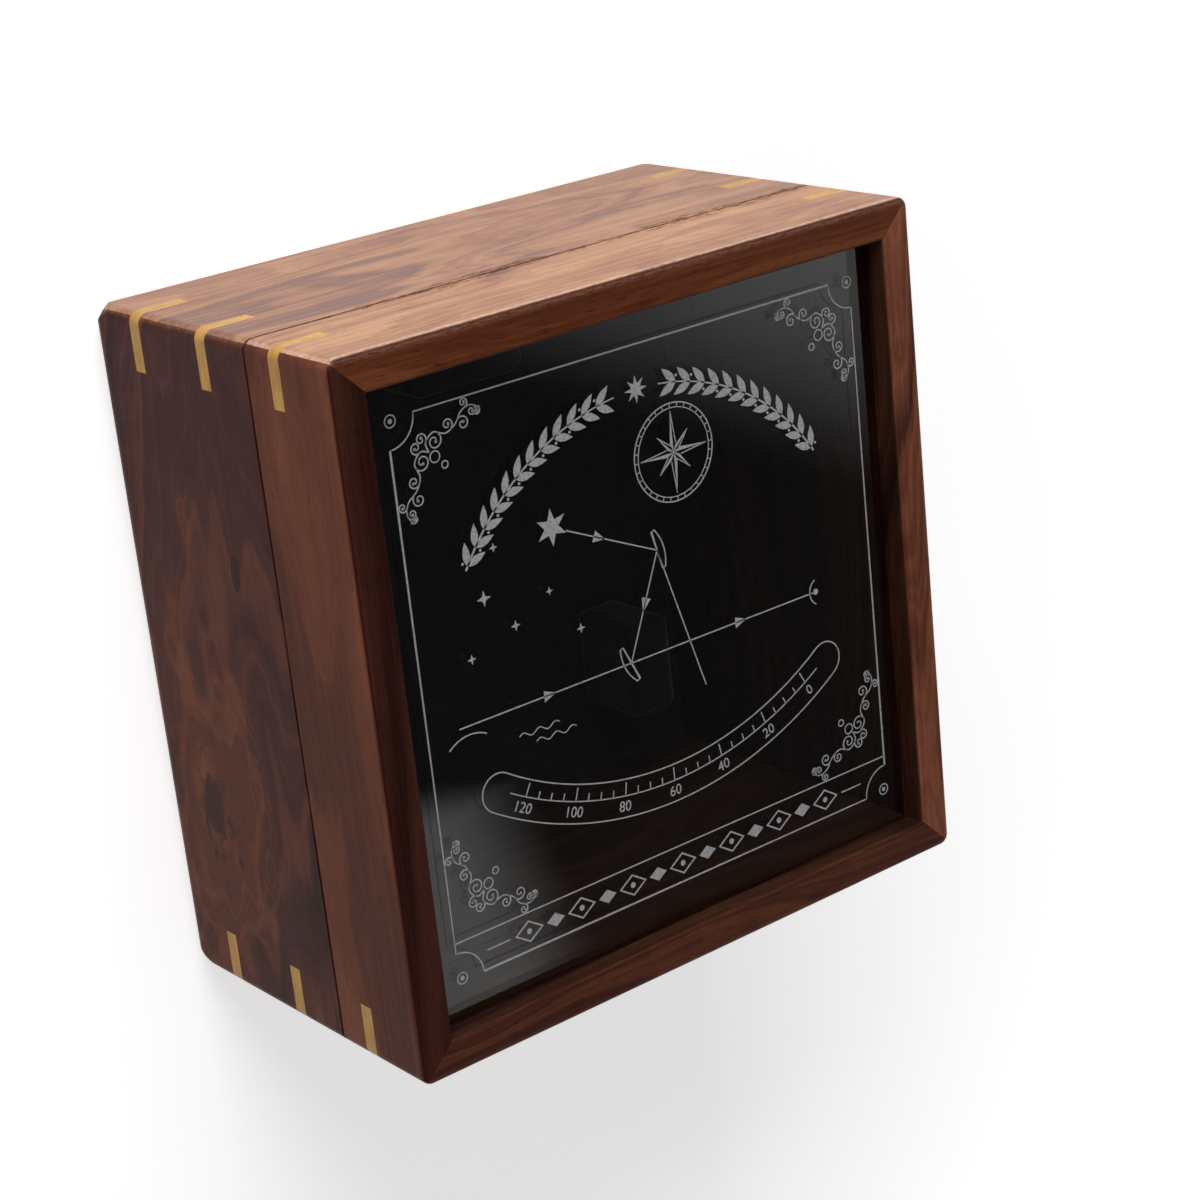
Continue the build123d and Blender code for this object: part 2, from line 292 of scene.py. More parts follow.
@dataclass(frozen=True)
class CaseShape:
    """Outer box that the edge rubbing and painted highlight, the painted shade inside and the saw cut follow, in
    millimetres.
    """

    half_width: float
    half_depth: float
    height: float
    cut_height: float
    wall: float

    def inside_distance(self, tree: bpy.types.NodeTree, place: bpy.types.NodeSocket) -> bpy.types.NodeSocket:
        """How far a point lies outside the opening between the walls, in millimetres."""
        x, y, _ = add_node(tree, "SeparateXYZ", Vector=place).outputs
        a = math_node(tree, "SUBTRACT", math_node(tree, "ABSOLUTE", x), self.half_width - self.wall)
        b = math_node(tree, "SUBTRACT", math_node(tree, "ABSOLUTE", y), self.half_depth - self.wall)
        return math_node(tree, "MAXIMUM", a, b)

    def edge_distance(self, tree: bpy.types.NodeTree, place: bpy.types.NodeSocket) -> bpy.types.NodeSocket:
        """How far a point on the case is from the nearest outer edge.

        It is the middle one of the three distances to the nearest faces across X, Y and Z, which is small
        only where two faces meet.

        Args:
            tree: The node tree that gets the nodes.
            place: Object coordinates in millimetres.

        Returns:
            The distance's socket, in millimetres.
        """
        x, y, z = add_node(tree, "SeparateXYZ", Vector=place).outputs
        a = math_node(tree, "SUBTRACT", self.half_width, math_node(tree, "ABSOLUTE", x))
        b = math_node(tree, "SUBTRACT", self.half_depth, math_node(tree, "ABSOLUTE", y))
        c = math_node(tree, "MINIMUM", z, math_node(tree, "SUBTRACT", self.height, z))
        least, most = math_node(tree, "MINIMUM", a, b), math_node(tree, "MAXIMUM", a, b)
        return math_node(tree, "MAXIMUM", least, math_node(tree, "MINIMUM", most, c))

    def foot_distance(self, tree: bpy.types.NodeTree, place: bpy.types.NodeSocket) -> bpy.types.NodeSocket:
        """How far a point on the case is from the nearest edge of the underside, in millimetres."""
        x, y, z = add_node(tree, "SeparateXYZ", Vector=place).outputs
        a = math_node(tree, "SUBTRACT", self.half_width, math_node(tree, "ABSOLUTE", x))
        b = math_node(tree, "SUBTRACT", self.half_depth, math_node(tree, "ABSOLUTE", y))
        return math_node(tree, "MAXIMUM", math_node(tree, "MINIMUM", a, b), z)

    def cut_distance(self, tree: bpy.types.NodeTree, place: bpy.types.NodeSocket) -> bpy.types.NodeSocket:
        """Distance above or below the saw cut, in millimetres."""
        z = add_node(tree, "SeparateXYZ", Vector=place).outputs[2]
        return math_node(tree, "ABSOLUTE", math_node(tree, "SUBTRACT", z, self.cut_height))


@dataclass(frozen=True)
class Knot:
    """Knot that the rings swirl round, in the board's own turned millimetres."""

    centre: tuple[float, float, float]
    reach: float = 14.0
    push: float = 30.0


@dataclass(frozen=True)
class Rosewood:
    """Indian rosewood, planed, sanded and hand-oiled.

    The eye sees dark purple-brown rings on red-brown or orange-brown ground, short open pores along the
    fibres, a faint cross-grain shimmer and a soft satin gloss. Faces that look up get a painted shade: a
    tint multiplied into their colour that stands in for the weak light on them.
    """

    name: str
    grain: Grain
    dark: str
    middle: str
    light: str
    vein: str
    seed: float
    ring_mm: float = 8.0
    ring_share: float = 1.0
    line_share: float = 0.45
    fibre_share: float = 0.55
    curl_share: float = 0.25
    vein_share: float = 0.6
    pith: tuple[float, float] = (38.0, -46.0)
    tilt: tuple[float, float, float] = (0.0, 0.05, 0.04)
    knot: Knot | None = None
    # Colour, share and reach of the edge rubbing, which is partly rubbing and partly painted highlight.
    rub_highlight_colour: str = "#D8AE98"
    rub_highlight_share: float = 0.35
    rub_highlight_reach: tuple[float, float] = (1.9, 0.2)
    # Reach of the painted highlight along the underside edges.
    foot_highlight_reach: tuple[float, float] = (3.2, 1.8)
    rim_share: float = 0.0
    torn_share: float = 0.75
    # Painted shade: tint multiplied into the faces that look up, for the weak light on them.
    up_face_painted_shade: tuple[float, float, float] = (0.47, 0.36, 0.42)
    top_dulled: float = 0.7
    roughness: float = 0.38
    specular: float = 0.25

    def rings(self, tree: bpy.types.NodeTree, along: bpy.types.NodeSocket) -> bpy.types.NodeSocket:
        """Distance from the tree's pith, warped by slow noise and by the knot.

        The pith is a line beside the board, slightly tilted, so that flat faces cut the rings as
        cathedral figure. A knot adds a push that falls off as a bell round its centre.

        Args:
            tree: The node tree that gets the nodes.
            along: Board coordinates in millimetres, fibres along X.

        Returns:
            The warped radius in ring spacings.
        """
        tilted = add_node(tree, "Mapping", Vector=along, Rotation=self.tilt, Location=(0, *self.pith)).outputs[0]
        _, y, z = add_node(tree, "SeparateXYZ", Vector=tilted).outputs
        radius = math_node(
            tree, "SQRT", math_node(tree, "ADD", math_node(tree, "MULTIPLY", y, y), math_node(tree, "MULTIPLY", z, z))
        )
        slow = noise(tree, stretched(tree, along, (0.007, 0.030, 0.030), (self.seed, 0, 0)), 2.0, 0.5)
        quick = noise(tree, stretched(tree, along, (0.022, 0.13, 0.13), (0, self.seed, 0)), 3.0, 0.55)
        radius = math_node(tree, "ADD", radius, math_node(tree, "MULTIPLY", slow, 46.0))
        radius = math_node(tree, "ADD", radius, math_node(tree, "MULTIPLY", quick, 5.0))
        if self.knot is not None:
            bell = self.knot_bell(tree, along, self.knot.reach)
            radius = math_node(tree, "ADD", radius, math_node(tree, "MULTIPLY", bell, self.knot.push))
        return math_node(tree, "DIVIDE", radius, self.ring_mm)

    def knot_bell(self, tree: bpy.types.NodeTree, along: bpy.types.NodeSocket, reach: float) -> bpy.types.NodeSocket:
        """Bell of height one round the knot: e to the minus squared distance over squared reach.

        The squared distance is scaled by slow noise, so that the outline is uneven.
        """
        offset = add_node(tree, "Mapping", Vector=along, Location=tuple(-c for c in self.knot.centre)).outputs[0]
        flat = add_node(tree, "VectorMath", {"operation": "MULTIPLY"}, i0=offset, i1=(0.62, 0.3, 1.15)).outputs[0]
        square = add_node(tree, "VectorMath", {"operation": "DOT_PRODUCT"}, i0=flat, i1=flat).outputs["Value"]
        uneven = noise(tree, stretched(tree, along, (0.045, 0.09, 0.09), (reach, 2, 0)), 1.0, 0.5)
        square = math_node(tree, "MULTIPLY", square, math_node(tree, "MULTIPLY_ADD", uneven, 3.6, -0.75))
        return math_node(tree, "EXPONENT", math_node(tree, "DIVIDE", square, -reach * reach))

    def material(self, case: CaseShape) -> bpy.types.Material:
        """Builds the oiled rosewood of one board.

        Args:
            case: The outer box, for the rubbing and painted highlight on the edges, the painted shade inside and the
                saw cut.

        Returns:
            The material.
        """
        material, tree, shader = new_material(self.name)
        place = object_mm(tree)
        along = object_mm(tree, self.grain.value, (self.seed * 37.0, 0.0, 0.0))
        rings = self.rings(tree, along)
        ring_noise = add_node(
            tree, "TexNoise", {"noise_dimensions": "1D"}, W=rings, Scale=1.0, Detail=2.0, Roughness=0.5
        ).outputs[0]
        lines = add_node(
            tree, "TexNoise", {"noise_dimensions": "1D"}, W=rings, Scale=4.3, Detail=2.0, Roughness=0.6
        ).outputs[0]
        fibres = noise(tree, stretched(tree, along, (0.022, 1.0, 1.0), (self.seed, 0, 0)), 4.0, 0.62, 0.1)
        curl = noise(tree, stretched(tree, along, (0.07, 0.03, 0.05), (2, self.seed * 2, 7)), 2.0, 0.5, 0.8)
        parts = ((ring_noise, self.ring_share), (lines, self.line_share), (fibres, self.fibre_share), (curl, self.curl_share))
        tone = 0.5 - sum(share for _, share in parts) / 2
        for value, share in parts:
            tone = math_node(tree, "MULTIPLY_ADD", value, share, tone)
        colour = ramp_node(tree, tone, [(0.26, self.dark), (0.50, self.middle), (0.74, self.light)])
        veins = band(tree, ring_noise, 0.47, 0.36, 0.0, self.vein_share)
        veins = math_node(tree, "MULTIPLY", veins, band(tree, fibres, 0.68, 0.40))
        colour = mix_colour(tree, veins, colour, linear(self.vein))
        if self.knot is not None:
            colour = self.darken_knot(tree, along, colour)
        pores = self.pores(tree, along)
        colour = mix_colour(tree, math_node(tree, "MULTIPLY", pores, 0.55), colour, linear("#1C0F0C"))
        up = add_node(tree, "SeparateXYZ", Vector=add_node(tree, "TexCoord").outputs["Normal"]).outputs[2]
        top = band(tree, up, 0.35, 0.9)
        colour, gloss = self.rubbing_highlight_and_cut(tree, case, place, along, colour)
        # Painted shade: the faces that look up are multiplied by their tint.
        colour = mix_colour(tree, top, colour, (*self.up_face_painted_shade, 1.0), "MULTIPLY")
        # Painted shade inside the case: faces within the opening between the walls darken towards near black and lose
        # gloss.
        inside = band(tree, case.inside_distance(tree, place), 0.5, 0.05)
        colour = mix_colour(tree, math_node(tree, "MULTIPLY", inside, 0.84), colour, linear("#1D100D"))
        tree.links.new(colour, shader.inputs["Base Color"])
        tree.links.new(gloss, shader.inputs["Roughness"])
        dulled = math_node(tree, "MAXIMUM", inside, math_node(tree, "MULTIPLY", top, self.top_dulled))
        shine = math_node(tree, "MULTIPLY_ADD", dulled, -self.specular * 0.9, self.specular)
        tree.links.new(shine, shader.inputs["Specular IOR Level"])
        height = math_node(tree, "MULTIPLY_ADD", pores, -1.0, math_node(tree, "MULTIPLY", fibres, 0.5))
        bump = add_node(tree, "Bump", Strength=0.35, Distance=0.00008, Height=height)
        tree.links.new(bump.outputs[0], shader.inputs["Normal"])
        return material

    def pores(self, tree: bpy.types.NodeTree, along: bpy.types.NodeSocket) -> bpy.types.NodeSocket:
        """Short open pores, about 0.25 mm wide and 4 mm long, drawn a little wide so that they show."""
        dashes = noise(tree, stretched(tree, along, (0.24, 3.1, 3.1), (self.seed, 3, 3)), 1.0, 0.5)
        return band(tree, dashes, 0.64, 0.71)

    def darken_knot(self, tree: bpy.types.NodeTree, along: bpy.types.NodeSocket, colour: bpy.types.NodeSocket) -> bpy.types.NodeSocket:
        """Orange halo and dark heart of the knot with a speckled rim.

        Args:
            tree: The node tree that gets the nodes.
            along: Board coordinates in millimetres.
            colour: The wood's colour.

        Returns:
            The knot's colour.
        """
        halo = self.knot_bell(tree, along, self.knot.reach * 1.9)
        colour = mix_colour(tree, math_node(tree, "MULTIPLY", halo, 0.3), colour, linear("#8A4E30"))
        outlines = band(tree, math_node(tree, "SINE", math_node(tree, "MULTIPLY", halo, 14.0)), 0.0, 1.0, 0.0, 0.32)
        outlines = math_node(tree, "MULTIPLY", outlines, band(tree, halo, 0.3, 0.75))
        colour = mix_colour(tree, outlines, colour, linear("#985734"))
        heart = self.knot_bell(tree, along, self.knot.reach * 0.44)
        speck = noise(tree, stretched(tree, along, (0.22, 0.42, 0.4)), 2.0, 0.6)
        rim = self.knot_bell(tree, along, self.knot.reach * 1.15)
        dark = band(tree, math_node(tree, "MULTIPLY", rim, speck), 0.42, 0.53, 0.0, 0.8)
        share = math_node(tree, "MAXIMUM", band(tree, heart, 0.3, 0.7, 0.0, 0.85), dark)
        return mix_colour(tree, share, colour, linear("#2A1A17"))

    def rubbing_highlight_and_cut(
        self, tree: bpy.types.NodeTree, case: CaseShape, place: bpy.types.NodeSocket, along: bpy.types.NodeSocket,
        colour: bpy.types.NodeSocket,
    ) -> tuple[bpy.types.NodeSocket, bpy.types.NodeSocket]:
        """Rubbing with a painted highlight on the outer edges, a painted highlight on the underside edges, a darker
        line right at the outer edges and the torn fibres beside the saw cut.

        Args:
            tree: The node tree that gets the nodes.
            case: The outer box.
            place: Object coordinates in millimetres.
            along: Board coordinates in millimetres.
            colour: The wood's colour.

        Returns:
            The colour with the edge rubbing, painted highlight, edge line and torn fibres, and the roughness.
        """
        grit = noise(tree, stretched(tree, along, (0.5, 2.4, 2.4), (9, 0, 0)), 3.0, 0.65)
        # Edge rubbing, partly real and partly painted highlight, and a painted highlight along the underside edges.
        edge = band(tree, case.edge_distance(tree, place), *self.rub_highlight_reach)
        edge = math_node(tree, "MAXIMUM", edge, band(tree, case.foot_distance(tree, place), *self.foot_highlight_reach))
        rub_and_highlight_mask = math_node(tree, "MULTIPLY", edge, band(tree, grit, 0.30, 0.66, 0.0, self.rub_highlight_share))
        colour = mix_colour(tree, rub_and_highlight_mask, colour, linear(self.rub_highlight_colour))
        # Darker line right along the outer edges.
        rim = band(tree, case.edge_distance(tree, place), 0.8, 0.45, 0.0, self.rim_share)
        colour = mix_colour(tree, rim, colour, linear("#43201C"))
        torn = noise(tree, stretched(tree, along, (0.45, 2.2, 2.2), (0, 4, 0)), 2.0, 0.6)
        gape = noise(tree, stretched(tree, along, (0.045, 0.02, 0.02), (0, 0, 6)), 2.0, 0.6)
        away = math_node(tree, "DIVIDE", case.cut_distance(tree, place), band(tree, gape, 0.42, 0.60, 0.4, 3.2))
        near = band(tree, away, 1.4, 0.5)
        ragged = math_node(tree, "MULTIPLY", near, band(tree, torn, 0.46, 0.58, 0.0, self.torn_share))
        colour = mix_colour(tree, ragged, colour, linear("#3A2118"))
        gloss = math_node(tree, "MULTIPLY_ADD", grit, 0.12, self.roughness - 0.06)
        gloss = math_node(tree, "MULTIPLY_ADD", ragged, 0.4, gloss, clamp=True)
        return colour, gloss


@dataclass(frozen=True)
class KeyWood:
    """Pale yellow hardwood slips, sawn, glued in and sanded flush: fine straight grain, satin."""

    dark: str = "#A0722E"
    light: str = "#D6A248"

    def material(self) -> bpy.types.Material:
        """Builds the key wood."""
        material, tree, shader = new_material("boxwood_key")
        place = object_mm(tree)
        fine = noise(tree, stretched(tree, place, (0.9, 0.9, 3.0)), 3.0, 0.6)
        slow = noise(tree, stretched(tree, place, (0.12, 0.12, 0.5), (3, 1, 0)), 2.0, 0.5)
        tone = math_node(tree, "MULTIPLY_ADD", fine, 0.5, math_node(tree, "MULTIPLY", slow, 0.5))
        colour = ramp_node(tree, tone, [(0.32, self.dark), (0.66, self.light)])
        tree.links.new(colour, shader.inputs["Base Color"])
        shader.inputs["Roughness"].default_value = 0.38
        shader.inputs["Specular IOR Level"].default_value = 0.2
        bump = add_node(tree, "Bump", Strength=0.2, Distance=0.00004, Height=fine)
        tree.links.new(bump.outputs[0], shader.inputs["Normal"])
        return material


@dataclass(frozen=True)
class BirchPlywood:
    """Rotary-cut plywood, sanded and left bare: pale, with wide faint figure and a dull surface."""

    dark: str = "#9C7448"
    light: str = "#C9A274"

    def material(self) -> bpy.types.Material:
        """Builds the plywood."""
        material, tree, shader = new_material("birch_plywood")
        place = object_mm(tree)
        wide = noise(tree, stretched(tree, place, (0.012, 0.07, 0.3)), 3.0, 0.5, 0.6)
        fine = noise(tree, stretched(tree, place, (0.06, 1.6, 1.6)), 3.0, 0.6)
        tone = math_node(tree, "MULTIPLY_ADD", wide, 0.6, math_node(tree, "MULTIPLY", fine, 0.4))
        tree.links.new(ramp_node(tree, tone, [(0.36, self.dark), (0.62, self.light)]), shader.inputs["Base Color"])
        shader.inputs["Roughness"].default_value = 0.62
        bump = add_node(tree, "Bump", Strength=0.25, Distance=0.00005, Height=fine)
        tree.links.new(bump.outputs[0], shader.inputs["Normal"])
        return material


@dataclass(frozen=True)
class CottonVelvet:
    """Black cotton velvet glued over board: near black with a pale sheen at grazing angles."""

    colour: str = "#0C0B0D"
    lay: str = "#1B191D"

    def material(self) -> bpy.types.Material:
        """Builds the velvet, its pile drawn at 0.5 mm and its brushed patches at 12 mm."""
        material, tree, shader = new_material("cotton_velvet")
        place = object_mm(tree)
        pile = noise(tree, stretched(tree, place, (2.0, 2.0, 2.0)), 2.0, 0.7)
        brushed = noise(tree, stretched(tree, place, (0.08, 0.08, 0.08), (4, 4, 4)), 2.0, 0.5, 0.5)
        tone = math_node(tree, "MULTIPLY_ADD", pile, 0.5, math_node(tree, "MULTIPLY", brushed, 0.6))
        tree.links.new(ramp_node(tree, tone, [(0.4, self.colour), (0.68, self.lay)]), shader.inputs["Base Color"])
        shader.inputs["Roughness"].default_value = 0.95
        shader.inputs["Sheen Weight"].default_value = 0.35
        shader.inputs["Sheen Roughness"].default_value = 0.4
        bump = add_node(tree, "Bump", Strength=0.5, Distance=0.0002, Height=pile)
        tree.links.new(bump.outputs[0], shader.inputs["Normal"])
        return material


@dataclass(frozen=True)
class LacqueredBrass:
    """Cast and turned brass under clear lacquer: warm gold, faint polishing lines, dulled in patches."""

    bright: str = "#D3AB62"
    dull: str = "#A8813F"

    def material(self) -> bpy.types.Material:
        """Builds the brass."""
        material, tree, shader = new_material("lacquered_brass")
        place = object_mm(tree)
        lines = noise(tree, stretched(tree, place, (6.0, 0.6, 0.6)), 3.0, 0.6)
        patches = noise(tree, stretched(tree, place, (0.3, 0.3, 0.3)), 3.0, 0.6)
        tone = math_node(tree, "MULTIPLY_ADD", lines, 0.3, math_node(tree, "MULTIPLY", patches, 0.7))
        tree.links.new(ramp_node(tree, tone, [(0.38, self.dull), (0.6, self.bright)]), shader.inputs["Base Color"])
        tree.links.new(band(tree, patches, 0.35, 0.65, 0.38, 0.24), shader.inputs["Roughness"])
        shader.inputs["Metallic"].default_value = 1.0
        bump = add_node(tree, "Bump", Strength=0.15, Distance=0.00003, Height=lines)
        tree.links.new(bump.outputs[0], shader.inputs["Normal"])
        return material


@dataclass(frozen=True)
class FloatGlass:
    """Lightly smoked 3 mm float glass: sharp double reflections off its two faces, and a dark view inside."""

    tint: str = "#D2D6D4"
    glass_ior: float = 1.52

    def material(self) -> bpy.types.Material:
        """Builds the glass. Light from the lamps passes through it, so that the inside is lit."""
        material, tree, shader = new_material("float_glass")
        shader.inputs["Base Color"].default_value = linear(self.tint)
        shader.inputs["Transmission Weight"].default_value = 1.0
        shader.inputs["IOR"].default_value = self.glass_ior
        shader.inputs["Roughness"].default_value = 0.0
        clear = add_node(tree, "BsdfTransparent", Color=linear(self.tint))
        ray = add_node(tree, "LightPath").outputs["Is Shadow Ray"]
        mixed = add_node(tree, "MixShader", i0=ray, i1=shader.outputs[0], i2=clear.outputs[0])
        tree.links.new(mixed.outputs[0], tree.nodes["Material Output"].inputs["Surface"])
        return material


@dataclass(frozen=True)
class ScreenInk:
    """Silver-grey enamel ink, screen printed and fired on glass: flat, slightly uneven, satin."""

    pale: str = "#B4B4B6"
    thin: str = "#8E8E90"

    def material(self) -> bpy.types.Material:
        """Builds the ink, its mottle drawn at 0.6 mm."""
        material, tree, shader = new_material("silver_screen_ink")
        place = object_mm(tree)
        mottle = noise(tree, stretched(tree, place, (1.6, 1.6, 1.6)), 3.0, 0.6)
        tree.links.new(ramp_node(tree, mottle, [(0.34, self.thin), (0.58, self.pale)]), shader.inputs["Base Color"])
        shader.inputs["Roughness"].default_value = 0.45
        return material


# ---------------------------------------------------------------------------------------------
# Printed chart on the glass
# ---------------------------------------------------------------------------------------------


@dataclass
class InkLayer:
    """One group of printed marks, gathered as thin closed solids on the glass.

    Points are given in millimetres from the middle of the pane, X to the right and Y away from the latch.
    """

    name: str
    glass_top: float
    sunk: float = 0.01
    proud: float = 0.05
    vertices: list = field(default_factory=list)
    faces: list = field(default_factory=list)

    def levels(self) -> tuple[float, float]:
        """Lower and upper height of the ink, in millimetres."""
        return self.glass_top - self.sunk, self.glass_top + self.proud

    def add(self, vertices: np.ndarray, faces: np.ndarray | list) -> None:
        """Appends a solid, its faces counted from its own first vertex."""
        start = sum(len(v) for v in self.vertices)
        self.vertices.append(vertices)
        self.faces.extend([tuple(int(i) + start for i in face) for face in faces])

    def strip(self, points: np.ndarray, width: float | np.ndarray, closed: bool = False) -> None:
        """Line of a given width: a rectangle carried along a path.

        The rectangle's corners lie half a width to each side along the path's normal, which is the
        tangent turned by 90 degrees, at the lower and the upper level.

        Args:
            points: N by 2 path in millimetres.
            width: Line width, one number or one for each point.
            closed: Whether the last point joins the first.
        """
        count = len(points)
        ahead = np.roll(points, -1, axis=0) if closed else np.vstack([points[1:], points[-1:]])
        behind = np.roll(points, 1, axis=0) if closed else np.vstack([points[:1], points[:-1]])
        tangent = ahead - behind
        tangent /= np.maximum(np.linalg.norm(tangent, axis=1, keepdims=True), 1e-9)
        normal = np.stack([-tangent[:, 1], tangent[:, 0]], axis=1)
        half = np.broadcast_to(np.asarray(width, dtype=float) / 2, (count,))[:, None]
        if closed or count > 2:
            step = points - behind
            step /= np.maximum(np.linalg.norm(step, axis=1, keepdims=True), 1e-9)
            lean = np.abs(np.sum(tangent * step, axis=1, keepdims=True))
            half = half / np.clip(np.where(np.linalg.norm(points - behind, axis=1, keepdims=True) < 1e-9, 1.0, lean), 0.6, 1.0)
        low, high = self.levels()
        left, right = points + normal * half, points - normal * half
        corners = [(left, low), (right, low), (right, high), (left, high)]
        rings = np.stack([np.column_stack([side, np.full(count, z)]) for side, z in corners], axis=1)
        i = np.arange(count if closed else count - 1)
        j = (i + 1) % count
        faces = [np.stack([4 * i + k, 4 * j + k, 4 * j + (k + 1) % 4, 4 * i + (k + 1) % 4], axis=1) for k in range(4)]
        quads = np.vstack(faces).tolist()
        if not closed:
            last = 4 * (count - 1)
            quads += [[3, 2, 1, 0], [last, last + 1, last + 2, last + 3]]
        self.add(rings.reshape(-1, 3), quads)

    def patch(self, outline: np.ndarray) -> None:
        """Filled shape: an outline given counter-clockwise, closed by flat faces below and above."""
        count = len(outline)
        low, high = self.levels()
        vertices = np.vstack([np.column_stack([outline, np.full(count, z)]) for z in (low, high)])
        i = np.arange(count)
        j = (i + 1) % count
        sides = np.stack([i, j, j + count, i + count], axis=1).tolist()
        self.add(vertices, [*sides, i[::-1].tolist(), (i + count).tolist()])

    def disc(self, centre: np.ndarray, radius: float, sides: int = 20) -> None:
        """Filled round dot."""
        angle = np.linspace(0, 2 * np.pi, sides, endpoint=False)
        self.patch(np.asarray(centre) + radius * np.stack([np.cos(angle), np.sin(angle)], axis=1))

    def circle(self, centre: np.ndarray, radius: float, width: float, sides: int = 40) -> None:
        """Round line."""
        angle = np.linspace(0, 2 * np.pi, sides, endpoint=False)
        self.strip(np.asarray(centre) + radius * np.stack([np.cos(angle), np.sin(angle)], axis=1), width, closed=True)

    def numeral(self, text: str, centre: np.ndarray, height: float, turn: float) -> None:
        """Plain number, centred on a point and turned.

        Args:
            text: The digits.
            centre: Where its middle goes.
            height: Digit height in millimetres.
            turn: Turn in radians, counter-clockwise.
        """
        curve = bpy.data.curves.new("numeral", "FONT")
        curve.body = text
        curve.align_x, curve.align_y = "CENTER", "CENTER"
        curve.size = height / 0.7
        curve.extrude = (self.sunk + self.proud) / 2
        holder = bpy.data.objects.new("numeral", curve)
        mesh = bpy.data.meshes.new_from_object(holder)
        flat = np.empty(len(mesh.vertices) * 3)
        mesh.vertices.foreach_get("co", flat)
        local = flat.reshape(-1, 3)
        c, s = math.cos(turn), math.sin(turn)
        placed = np.column_stack([
            centre[0] + c * local[:, 0] - s * local[:, 1],
            centre[1] + s * local[:, 0] + c * local[:, 1],
            local[:, 2] + sum(self.levels()) / 2,
        ])
        self.add(placed, [tuple(polygon.vertices) for polygon in mesh.polygons])
        bpy.data.objects.remove(holder)
        bpy.data.curves.remove(curve)
        bpy.data.meshes.remove(mesh)

    def build(self, ink: bpy.types.Material) -> bpy.types.Object:
        """Makes the layer's object and lets it ride on the lid.

        Args:
            ink: The ink's material.

        Returns:
            The object.
        """
        piece = mesh_object(self.name, np.vstack(self.vertices) * MM, self.faces)
        piece.data.materials.append(ink)
        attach(piece, "lid")
        return piece


def arc_points(centre: tuple[float, float], radius: float, start: float, end: float, steps: int) -> np.ndarray:
    """Points on an arc: centre plus radius times cosine and sine of an angle that grows evenly.

    Args:
        centre: Arc centre in millimetres.
        radius: Radius in millimetres.
        start: First angle in degrees.
        end: Last angle in degrees.
        steps: Number of points.

    Returns:
        N by 2 array.
    """
    angle = np.radians(np.linspace(start, end, steps))
    return np.asarray(centre) + radius * np.stack([np.cos(angle), np.sin(angle)], axis=1)


def smooth_path(points: list[tuple[float, float]], steps: int = 10) -> np.ndarray:
    """Catmull-Rom curve: cubic pieces through the points whose slopes follow their neighbours.

    Args:
        points: The points in millimetres.
        steps: Steps for each piece.

    Returns:
        N by 2 array.
    """
    p = np.asarray([points[0], *points, points[-1]], dtype=float)
    t = np.linspace(0, 1, steps, endpoint=False)[:, None]
    pieces = [
        0.5 * (2 * b + (c - a) * t + (2 * a - 5 * b + 4 * c - d) * t**2 + (3 * b - a - 3 * c + d) * t**3)
        for a, b, c, d in zip(p, p[1:], p[2:], p[3:])
    ]
    return np.vstack([*pieces, p[-1:]])


def curl_path(start: np.ndarray, heading: float, radius: float, hand: int, turns: float = 1.25, steps: int = 30) -> np.ndarray:
    """Spiral that leaves a line along its heading and winds in: the radius falls evenly as the angle grows.

    Args:
        start: First point in millimetres.
        heading: First heading in degrees.
        radius: First radius in millimetres.
        hand: 1 to wind to the left, -1 to the right.
        turns: Number of turns.
        steps: Number of points.

    Returns:
        N by 2 array.
    """
    t = np.linspace(0, 1, steps)
    first = math.radians(heading - 90 * hand)
    angle = first + hand * 2 * np.pi * turns * t
    centre = np.asarray(start) - radius * np.array([math.cos(first), math.sin(first)])
    reach = radius * (1 - 0.78 * t)
    return centre + reach[:, None] * np.stack([np.cos(angle), np.sin(angle)], axis=1)


